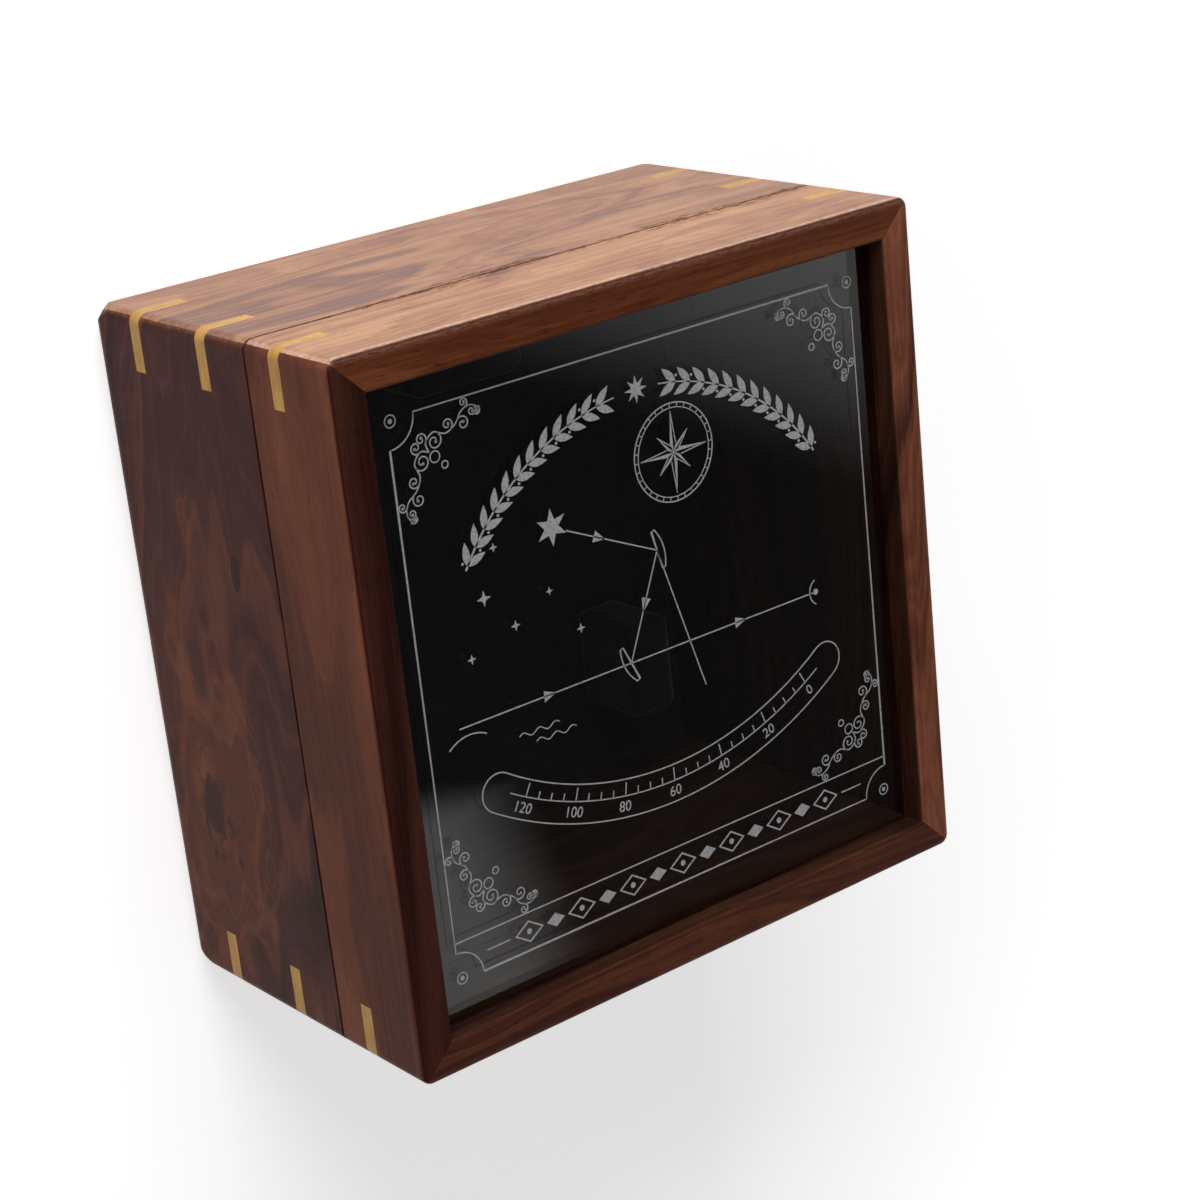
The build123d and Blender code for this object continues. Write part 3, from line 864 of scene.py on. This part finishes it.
@dataclass
class PrintedChart:
    """Border, scrolls, laurel band, compass rose, ray chart and arc scale, in silver ink."""

    glass_top: float
    half_width: float = 65.9
    top: float = 65.6
    foot: float = -64.2
    foot_band: float = -55.0
    corner_cut: float = 6.8
    line: float = 0.31
    laurel_radius: float = 60.5
    laurel_centre: float = -5.0
    scale_centre: float = 50.0
    scale_radius: float = 88.5

    def layer(self, name: str) -> InkLayer:
        """Empty layer on this pane."""
        return InkLayer(name, self.glass_top)

    def border(self) -> InkLayer:
        """Rectangle with hollow corners, a ringed dot in each corner and a band along the foot."""
        layer = self.layer("print_border")
        w, t, f, c = self.half_width, self.top, self.foot, self.corner_cut
        corners = [((w, t), 270, 180), ((-w, t), 360, 270), ((-w, f), 90, 0), ((w, f), 180, 90)]
        outline = np.vstack([arc_points(centre, c, a, b, 14) for centre, a, b in corners])
        layer.strip(outline, self.line, closed=True)
        layer.strip(np.array([[-w, self.foot_band], [w, self.foot_band]]), self.line)
        for (x, y), _, _ in corners:
            dot = np.array([x - math.copysign(0.9, x), y - math.copysign(0.6, y - (t + f) / 2)])
            layer.circle(dot, 1.35, 0.28)
            layer.disc(dot, 0.55)
        return layer

    def corner_scroll(self, mirror_x: int, mirror_y: int, corner: tuple[float, float], layer: InkLayer) -> None:
        """Scrolls that run out of one corner along both sides of the border.

        Args:
            mirror_x: 1 where the scroll runs to the right, -1 to the left.
            mirror_y: 1 where it runs up, -1 down.
            corner: The border's corner in millimetres.
            layer: The layer that gets the lines.
        """
        stem = smooth_path([(9.6, 9.6), (9.0, 7.4), (11.2, 5.6), (14.2, 6.6), (16.9, 5.4), (18.9, 2.9), (21.4, 2.2), (23.4, 3.2)])
        curls = ((0.16, 1.5, -1), (0.34, 2.0, 1), (0.50, 1.5, -1), (0.62, 1.7, 1), (0.78, 1.2, -1), (0.90, 1.2, 1), (1.0, 0.9, 1))
        lines = [stem]
        for share, radius, hand in curls:
            i = min(int(share * (len(stem) - 1)), len(stem) - 2)
            ahead = stem[i + 1] - stem[i]
            lines.append(curl_path(stem[i], math.degrees(math.atan2(ahead[1], ahead[0])), radius, hand))
        flip = np.array([mirror_x, mirror_y])
        for line in lines:
            for side in (line, line[:, ::-1]):
                layer.strip(np.asarray(corner) + side * flip, np.linspace(0.34, 0.26, len(side)))
                layer.disc(np.asarray(corner) + side[-1] * flip, 0.34, 10)
        for reach, radius in ((10.9, 1.25), (13.2, 0.8)):
            layer.circle(np.asarray(corner) + reach * flip, radius, 0.28, 24)

    def scrolls(self) -> InkLayer:
        """Four corner scrolls; the lower two stand on the foot band."""
        layer = self.layer("print_scrolls")
        w, t, b = self.half_width, self.top, self.foot_band
        self.corner_scroll(1, -1, (-w, t), layer)
        self.corner_scroll(-1, -1, (w, t), layer)
        self.corner_scroll(1, 1, (-w, b), layer)
        self.corner_scroll(-1, 1, (w, b), layer)
        return layer

    def leaf(self, root: np.ndarray, heading: float, length: float, width: float) -> np.ndarray:
        """Laurel leaf outline: half its width is a sine arch over its length, leaning to its tip."""
        t = np.linspace(0, 1, 9)
        arch = width / 2 * np.sin(np.pi * t**0.85)
        right = np.stack([length * t, -arch], axis=1)
        left = np.stack([length * t[-2:0:-1], arch[-2:0:-1]], axis=1)
        c, s = math.cos(heading), math.sin(heading)
        return root + np.vstack([right, left]) @ np.array([[c, s], [-s, c]])

    def laurel(self) -> InkLayer:
        """Laurel spray along an arc, its leaves in pairs from both ends to a small star in the middle."""
        layer = self.layer("print_laurel")
        centre = (0.0, self.laurel_centre)
        radius = self.laurel_radius
        for side in (-1, 1):
            stem = arc_points(centre, radius, 90 - side * 57, 90 - side * 6, 60)
            layer.strip(stem, np.linspace(0.5, 0.3, 60))
            for place in np.arange(56.0, 8.0, -4.1):
                angle = math.radians(90 - side * place)
                root = np.asarray(centre) + radius * np.array([math.cos(angle), math.sin(angle)])
                forward = angle + side * math.pi / 2
                for lean in (-1, 1):
                    layer.patch(self.leaf(root, forward + lean * 0.62, 5.4, 1.9))
                layer.disc(root + 1.5 * np.array([math.cos(angle), math.sin(angle)]) * (-1) ** int(place), 0.34, 12)
        layer.patch(self.star_outline((0.0, self.laurel_centre + radius), 3.2, 1.35, 8))
        return layer

    def star_outline(self, centre: tuple[float, float], outer: float, inner: float, points: int) -> np.ndarray:
        """Star outline: the radius swaps between outer and inner at even angles."""
        angle = np.pi / 2 + np.arange(2 * points) * np.pi / points
        radius = np.where(np.arange(2 * points) % 2 == 0, outer, inner)
        return np.asarray(centre) + radius[:, None] * np.stack([np.cos(angle), np.sin(angle)], axis=1)

    def compass_rose(self) -> InkLayer:
        """Eight-point compass rose, each point half filled and half outlined, in two rings."""
        layer = self.layer("print_compass_rose")
        centre = np.array([9.0, 38.6])
        layer.circle(centre, 11.4, 0.3, 72)
        layer.circle(centre, 10.3, 0.22, 72)
        for k in range(32):
            tick = arc_points((0, 0), 1.0, 11.25 * k, 11.25 * k, 1)[0]
            layer.strip(np.array([centre + 10.4 * tick, centre + 11.3 * tick]), 0.22)
        for k in range(8):
            angle = math.radians(90 + 45 * k)
            reach, waist = (9.6, 2.2) if k % 2 == 0 else (6.2, 1.7)
            tip = reach * np.array([math.cos(angle), math.sin(angle)])
            for side in (-1, 1):
                turn = angle + side * math.pi / 8
                hip = waist * np.array([math.cos(turn), math.sin(turn)])
                outline = np.array([[0.0, 0.0], tip, hip]) if side > 0 else np.array([[0.0, 0.0], hip, tip])
                if side > 0:
                    layer.patch(centre + outline)
                else:
                    layer.strip(centre + np.vstack([hip, tip]), 0.24)
        return layer

    def arrow(self, layer: InkLayer, start: tuple[float, float], end: tuple[float, float], head_at: float) -> None:
        """Ray with a filled arrowhead part of the way along.

        Args:
            layer: The layer that gets the ray.
            start: Where the ray starts.
            end: Where it ends.
            head_at: Share of the way to the arrowhead's tip.
        """
        a, b = np.asarray(start, dtype=float), np.asarray(end, dtype=float)
        layer.strip(np.vstack([a, b]), self.line)
        along = (b - a) / np.linalg.norm(b - a)
        across = np.array([-along[1], along[0]])
        tip = a + (b - a) * head_at
        layer.patch(np.vstack([tip, tip - 3.3 * along + 1.35 * across, tip - 3.3 * along - 1.35 * across]))

    def mirror(self, layer: InkLayer, centre: tuple[float, float], tilt: float, length: float = 9.5, depth: float = 2.0) -> None:
        """Mirror seen edge on: a straight face and a bowed back.

        Args:
            layer: The layer that gets the outline.
            centre: Middle of its face.
            tilt: Turn of the face from upright, in degrees.
            length: Length of the face in millimetres.
            depth: Depth of the bowed back in millimetres.
        """
        t = np.linspace(-1, 1, 13)
        back = np.stack([depth * (0.45 + 0.55 * (1 - t**2)), t * length / 2], axis=1)
        face = np.array([[0.0, length / 2], [0.0, -length / 2]])
        outline = np.vstack([face[::-1], back[::-1]])[::-1]
        c, s = math.cos(math.radians(tilt)), math.sin(math.radians(tilt))
        layer.strip(np.asarray(centre) + outline @ np.array([[c, s], [-s, c]]), self.line, closed=True)

    def ray_chart(self) -> InkLayer:
        """How such an instrument works: a star's ray off two mirrors meets the horizon's ray at the eye."""
        layer = self.layer("print_ray_chart")
        star, index, horizon, eye = (-27.0, 31.0), (1.5, 17.5), (-9.0, -6.5), (47.0, -6.5)
        layer.patch(self.star_outline(star, 4.4, 1.9, 6))
        self.arrow(layer, (-23.2, 29.2), index, 0.42)
        self.arrow(layer, index, horizon, 0.55)
        self.arrow(layer, (-57.5, -6.5), horizon, 0.55)
        self.arrow(layer, horizon, eye, 0.62)
        self.mirror(layer, index, 14)
        self.mirror(layer, horizon, 205)
        layer.strip(np.array([[index[0], index[1]], [12.0, -18.5]]), self.line)
        layer.strip(arc_points((-55.0, -17.5), 9.0, 60, 130, 18), self.line)
        layer.strip(arc_points((eye[0] + 2.4, eye[1]), 3.4, 118, 242, 20), self.line)
        layer.disc((eye[0] + 0.9, eye[1]), 0.75)
        for x, y, size in ((-47.0, 20.5, 1.9), (-39.5, 12.0, 1.3), (-29.5, 17.0, 1.0), (-52.0, 8.0, 1.2), (-43.0, 31.0, 1.1), (-22.0, 6.0, 1.2)):
            layer.patch(self.star_outline((x, y), size, size * 0.34, 4))
        ripple = np.linspace(0, 5 * np.pi, 46)
        for x, y in ((-42.0, -13.5), (-37.5, -16.0)):
            layer.strip(np.stack([x + ripple * 0.72, y + 0.55 * np.sin(ripple)], axis=1), self.line * 0.8)
        return layer

    def arc_scale(self) -> InkLayer:
        """Round-ended arc with plain numbers from 0 to 120."""
        layer = self.layer("print_arc_scale")
        centre = (0.0, self.scale_centre)
        inner, outer = self.scale_radius - 4.0, self.scale_radius + 5.2
        start, end = 236.5, 303.5
        upper = arc_points(centre, inner, start, end, 60)
        lower = arc_points(centre, outer, end, start, 60)
        middle = (inner + outer) / 2
        half, phase = (outer - inner) / 2, np.linspace(0, np.pi, 14)[1:-1, None]
        caps = []
        for angle, hand in ((end, 1), (start, -1)):
            outward = arc_points((0, 0), 1.0, angle, angle, 1)
            ahead = arc_points((0, 0), 1.0, angle + 90, angle + 90, 1)
            bulb = hand * half * (np.sin(phase) * ahead - np.cos(phase) * outward)
            caps.append(arc_points(centre, middle, angle, angle, 1) + bulb)
        layer.strip(np.vstack([upper, caps[0], lower, caps[1]]), self.line, closed=True)
        layer.strip(arc_points(centre, self.scale_radius, start + 2, end - 2, 60), self.line * 0.9)
        for step in range(25):
            angle = end - 5 - step * (end - start - 10) / 24
            length = 3.2 if step % 4 == 0 else 1.8
            tick = np.vstack([
                arc_points(centre, self.scale_radius, angle, angle, 1),
                arc_points(centre, self.scale_radius - length, angle, angle, 1),
            ])
            layer.strip(tick, 0.3)
            if step % 4 == 0:
                place = arc_points(centre, self.scale_radius + 2.6, angle, angle, 1)[0]
                layer.numeral(str(step * 5), place, 2.5, math.radians(angle - 270))
        return layer

    def foot_ornament(self) -> InkLayer:
        """Row of lozenges and dots along the foot band."""
        layer = self.layer("print_foot_ornament")
        height = (self.foot_band + self.foot) / 2
        for k in range(-6, 7):
            x = 7.6 * k
            big = 2.5 if k % 2 == 0 else 1.7
            lozenge = np.array([[x - 1.5 * big, height], [x, height - big], [x + 1.5 * big, height], [x, height + big]])
            if k % 2 == 0:
                layer.strip(lozenge, 0.4, closed=True)
                layer.disc((x, height), 0.7)
            else:
                layer.patch(lozenge * [1, 1])
        for side in (-1, 1):
            layer.strip(np.array([[side * 51.0, height], [side * 57.5, height]]), self.line)
        return layer

    def build(self, ink: bpy.types.Material) -> None:
        """Makes every layer.

        Args:
            ink: The ink's material.
        """
        makers = (
            self.border, self.scrolls, self.laurel, self.compass_rose, self.ray_chart, self.arc_scale, self.foot_ornament,
        )
        for make in makers:
            piece = make().build(ink)
            LOG.info("printed %s, %d faces", piece.name, len(piece.data.polygons))


# ---------------------------------------------------------------------------------------------
# Sub-assemblies
# ---------------------------------------------------------------------------------------------


def dress(node: str, material: bpy.types.Material) -> None:
    """Gives a frame piece its material in every slot.

    Args:
        node: The node's name.
        material: The material.
    """
    slots = FRAME["nodes"][node].data.materials
    slots.clear()
    slots.append(material)
    LOG.info("dressed %s in %s", node, material.name)


FRAME: dict = {}


@dataclass
class VelvetPad:
    """Board or block wrapped in velvet: a box whose edges round over, slightly crowned on top."""

    node: str
    radius: float
    crown: float
    steps: int = 24

    def build(self, velvet: bpy.types.Material) -> bpy.types.Object:
        """Makes the pad in its node's place.

        Each corner of a cube grid is pushed in to the box's inner core and out again by the radius along
        the direction from the core, which rounds every edge; the top is raised by the crown times a
        product of cosines.

        Args:
            velvet: The velvet's material.

        Returns:
            The pad.
        """
        low, high = (np.array(corner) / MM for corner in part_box(self.node))
        half, middle = (high - low) / 2, (high + low) / 2
        t = np.linspace(-1, 1, self.steps)
        a, b = np.meshgrid(t, t, indexing="ij")
        one = np.ones_like(a)
        sides = [(a, b, one), (b, a, -one), (one, a, b), (-one, b, a), (b, one, a), (a, -one, b)]
        cube = np.vstack([np.stack([s.ravel() for s in side], axis=1) for side in sides])
        warp = np.sign(cube) * (1 - (1 - np.abs(cube)) ** 1.6)
        point = warp * half
        core = np.clip(point, -(half - self.radius), half - self.radius)
        out = point - core
        reach = np.maximum(np.linalg.norm(out, axis=1, keepdims=True), 1e-9)
        point = core + out / reach * self.radius
        lift = np.cos(warp[:, 0] * np.pi / 2) * np.cos(warp[:, 1] * np.pi / 2)
        point[:, 2] += np.where(cube[:, 2] > 0.99, self.crown * lift - self.crown, 0)
        n = self.steps
        i, j = np.meshgrid(np.arange(n - 1), np.arange(n - 1), indexing="ij")
        first = (i * n + j).ravel()
        quad = np.stack([first, first + n, first + n + 1, first + 1], axis=1)
        faces = np.vstack([quad + side * n * n for side in range(6)])
        pad = mesh_object(f"{self.node}_velvet", (point + middle) * MM, faces.tolist())
        self.weld(pad)
        pad.data.materials.append(velvet)
        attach(pad, "base")
        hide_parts(self.node)
        return pad

    def weld(self, pad: bpy.types.Object) -> None:
        """Merges the six sides into one closed skin and shades it smooth."""
        import bmesh

        shell = bmesh.new()
        shell.from_mesh(pad.data)
        bmesh.ops.remove_doubles(shell, verts=shell.verts, dist=1e-6)
        bmesh.ops.recalc_face_normals(shell, faces=shell.faces)
        shell.to_mesh(pad.data)
        shell.free()
        pad.data.polygons.foreach_set("use_smooth", [True] * len(pad.data.polygons))


@dataclass
class CaseBase:
    """Lower half of the case: walls, keys, bottom and the velvet inside."""

    case: CaseShape

    def build(self, keys: bpy.types.Material, velvet: bpy.types.Material) -> None:
        """Dresses the base.

        Args:
            keys: Material of the corner keys.
            velvet: Material of the lining.
        """
        dress("base_back_wall", Rosewood(
            "rosewood_back_board", Grain.ALONG_X, "#683C26", "#945F3E", "#AE7B55", "#623E3A", 1.3,
            rub_highlight_share=0.3, fibre_share=0.7, specular=0.28,
        ).material(self.case))
        # Darker palette: partly the board's own tone, partly painted shade of the side away from the key light. Its
        # orange rub colour, high share and wide underside band paint a highlight along its underside edge.
        dress("base_left_wall", Rosewood(
            "rosewood_left_board", Grain.ALONG_Y, "#341A17", "#462320", "#66392B", "#2C1513", 4.1,
            ring_mm=9.0, ring_share=1.05, line_share=0.4, fibre_share=0.2, torn_share=0.2, tilt=(0.0, 0.30, 0.10),
            knot=Knot((4.1 * 37.0 - 36.5, 81.5, 22.8)), rub_highlight_colour="#B07850", foot_highlight_reach=(4.2, 2.4), rub_highlight_share=0.6,
            specular=0.04,
        ).material(self.case))
        dress("base_right_wall", Rosewood(
            "rosewood_right_board", Grain.ALONG_Y, "#43241C", "#6B3C2C", "#8E5A42", "#331D19", 7.7,
        ).material(self.case))
        dress("base_front_wall", Rosewood(
            "rosewood_front_board", Grain.ALONG_X, "#4A2A1E", "#784832", "#9B6849", "#38211B", 9.2,
        ).material(self.case))
        dress("base_keys", keys)
        dress("bottom_panel", BirchPlywood().material())
        VelvetPad("floor_lining", 0.8, 0.2, 40).build(velvet)
        for node in ("cradle_end", "cradle_left", "cradle_right"):
            VelvetPad(node, 3.4, 0.8).build(velvet)


@dataclass
class GlazedLid:
    """Upper half of the case: frame, keys, pane and the printed chart."""

    case: CaseShape

    def build(self, keys: bpy.types.Material) -> None:
        """Dresses the lid and prints its glass.

        Args:
            keys: Material of the corner keys.
        """
        # Pale pinkish colour along its edges: partly rubbing, partly painted highlight. Its up face carries a strong
        # painted shade.
        dress("lid_back_rail", Rosewood(
            "rosewood_back_rail", Grain.ALONG_X, "#74442A", "#9E6842", "#BC885C", "#6A4436", 1.3,
            rub_highlight_colour="#E4C8BC", rub_highlight_reach=(2.2, 1.0), rub_highlight_share=0.6, rim_share=0.75, fibre_share=0.75,
            up_face_painted_shade=(0.35, 0.22, 0.18),
        ).material(self.case))
        # Darker palette: partly the board's own tone, partly painted shade of the side away from the key light.
        dress("lid_left_rail", Rosewood(
            "rosewood_left_rail", Grain.ALONG_Y, "#5C3022", "#6A3A28", "#7A4630", "#48261D", 4.1,
            ring_mm=11.0, ring_share=0.9, line_share=0.35, fibre_share=0.3, torn_share=0.2, rub_highlight_share=0.0,
            rim_share=0.8, specular=0.04, up_face_painted_shade=(0.34, 0.36, 0.50),
        ).material(self.case))
        dress("lid_right_rail", Rosewood(
            "rosewood_right_rail", Grain.ALONG_Y, "#4A281E", "#764530", "#9A6448", "#38201B", 7.7,
            rub_highlight_share=0.2, rim_share=0.4, up_face_painted_shade=(0.90, 0.80, 0.82),
        ).material(self.case))
        dress("lid_front_rail", Rosewood(
            "rosewood_front_rail", Grain.ALONG_X, "#46281D", "#72442F", "#96623F", "#38211B", 9.2,
            rub_highlight_share=0.2, rim_share=0.4, up_face_painted_shade=(0.46, 0.37, 0.42),
        ).material(self.case))
        dress("lid_keys", keys)
        dress("glass_pane", FloatGlass().material())
        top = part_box("glass_pane")[1][2] / MM
        PrintedChart(top).build(ScreenInk().material())


@dataclass
class BrassFittings:
    """Concealed hinges, hook, catch and their fasteners."""

    nodes: tuple[str, ...] = (
        "hinge_left_base_cup", "hinge_right_base_cup", "hinge_left_lid_cup", "hinge_right_lid_cup",
        "hinge_left_link", "hinge_right_link", "hinge_base_screws", "hinge_lid_screws",
        "latch_plate", "latch_plate_pins", "latch_rivet", "latch_hook",
        "catch_plate", "catch_plate_pins", "catch_stud",
    )

    def build(self) -> None:
        """Dresses every brass piece."""
        brass = LacqueredBrass().material()
        for node in self.nodes:
            dress(node, brass)


# ---------------------------------------------------------------------------------------------
# Studio
# ---------------------------------------------------------------------------------------------


@dataclass
class Studio:
    """Pale floor, soft lamps, plain surroundings and the camera."""

    focal_share: float = 2850.74 / 1200
    eye: tuple[float, float, float] = (-0.37521, 0.22211, 0.57090)
    right: tuple[float, float, float] = (0.773346, -0.100777, 0.625924)
    up: tuple[float, float, float] = (0.284521, 0.937447, -0.200600)
    forward: tuple[float, float, float] = (0.566555, -0.333222, -0.753644)

    def camera(self) -> None:
        """Camera at the viewing angle worked out from the case's own edges."""
        data = bpy.data.cameras.new("camera")
        data.sensor_width = 36.0
        data.lens = 36.0 * self.focal_share
        data.clip_start = 0.01
        holder = bpy.data.objects.new("camera", data)
        axes = Matrix((self.right, self.up, tuple(-c for c in self.forward))).transposed().to_4x4()
        holder.matrix_world = Matrix.Translation(self.eye) @ axes
        bpy.context.scene.collection.objects.link(holder)
        bpy.context.scene.camera = holder

    def lamp(self, name: str, place: tuple[float, float, float], size: float, watts: float) -> None:
        """Square soft lamp that looks at the case.

        Args:
            name: The lamp's name.
            place: Where it stands, in metres.
            size: Its side in metres.
            watts: Its power.
        """
        data = bpy.data.lights.new(name, "AREA")
        data.size = size
        data.energy = watts
        holder = bpy.data.objects.new(name, data)
        holder.location = place
        holder.rotation_euler = (Vector((0, 0, 0.05)) - Vector(place)).to_track_quat("-Z", "Y").to_euler()
        holder.visible_glossy = False
        holder.visible_transmission = False
        bpy.context.scene.collection.objects.link(holder)

    def floor(self) -> None:
        """White floor that keeps a soft shadow near the case and fades to white away from it."""
        side = 6.0
        plate = mesh_object("floor", np.array([
            [-side, -side, 0.0], [side, -side, 0.0], [side, side, 0.0], [-side, side, 0.0],
        ]), [(0, 1, 2, 3)])
        material, tree, shader = new_material("studio_floor")
        shader.inputs["Base Color"].default_value = linear("#E6E6E6")
        shader.inputs["Roughness"].default_value = 0.9
        path = add_node(tree, "LightPath").outputs
        seen = path["Is Camera Ray"]
        for kind in ("Is Glossy Ray", "Is Transmission Ray"):
            seen = math_node(tree, "MAXIMUM", seen, path[kind])
        away = add_node(tree, "VectorMath", {"operation": "LENGTH"}, i0=object_mm(tree)).outputs["Value"]
        glow = math_node(tree, "MULTIPLY", seen, band(tree, away, 180.0, 600.0, 0.6, 1.0))
        lift = add_node(tree, "Emission", Color=(1, 1, 1, 1), Strength=glow)
        both = add_node(tree, "AddShader", i0=shader.outputs[0], i1=lift.outputs[0])
        tree.links.new(both.outputs[0], tree.nodes["Material Output"].inputs["Surface"])
        plate.data.materials.append(material)

    def world(self) -> None:
        """Even soft light, with a black card in front that mirrors show."""
        world = bpy.data.worlds.new("studio")
        bpy.context.scene.world = world
        world.use_nodes = True
        tree = world.node_tree
        background = tree.nodes["Background"]
        direction = add_node(tree, "TexCoord").outputs["Generated"]
        side = add_node(
            tree, "VectorMath", {"operation": "DOT_PRODUCT"}, i0=direction, i1=(0.497, 0.868, 0.0)
        ).outputs["Value"]
        across, deep, upward = add_node(tree, "SeparateXYZ", Vector=direction).outputs
        foot = math_node(tree, "MAXIMUM", band(tree, across, 0.495, 0.53), band(tree, deep, -0.402, -0.386))
        card = math_node(tree, "MULTIPLY", band(tree, side, 0.131, 0.052), foot)
        card = math_node(tree, "MULTIPLY", card, band(tree, upward, 0.5, 0.6))
        pale = math_node(tree, "MULTIPLY_ADD", card, -0.68, 0.72)
        path = add_node(tree, "LightPath").outputs
        strength = add_node(tree, "Mix", {"data_type": "FLOAT"}, i0=path["Is Glossy Ray"], i2=0.10, i3=pale).outputs[0]
        strength = add_node(tree, "Mix", {"data_type": "FLOAT"}, i0=path["Is Camera Ray"], i2=strength, i3=1.0).outputs[0]
        background.inputs["Color"].default_value = (1, 1, 1, 1)
        tree.links.new(strength, background.inputs["Strength"])

    def build(self) -> None:
        """Sets up the whole studio."""
        self.camera()
        self.floor()
        self.world()
        self.lamp("key", (-0.35, 1.5, 0.75), 1.1, 29.5)
        self.lamp("fill", (-1.2, -0.6, 1.1), 1.2, 3.6)
        bpy.context.scene.view_settings.view_transform = "Standard"


def main() -> None:
    """Loads the frame, dresses it and sets up the studio."""
    logging.basicConfig(level=logging.INFO, format="%(message)s")
    FRAME.update(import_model())
    low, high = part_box("lid_keys")
    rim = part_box("base_front_wall")[1][2]
    wall_low, wall_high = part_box("base_left_wall")
    wall = (wall_high[0] - wall_low[0]) / MM
    case = CaseShape(high[0] / MM, high[1] / MM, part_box("lid_back_rail")[1][2] / MM, rim / MM + 0.15, wall)
    keys = KeyWood().material()
    CaseBase(case).build(keys, CottonVelvet().material())
    GlazedLid(case).build(keys)
    BrassFittings().build()
    Studio().build()


if __name__ == "__main__":
    main()
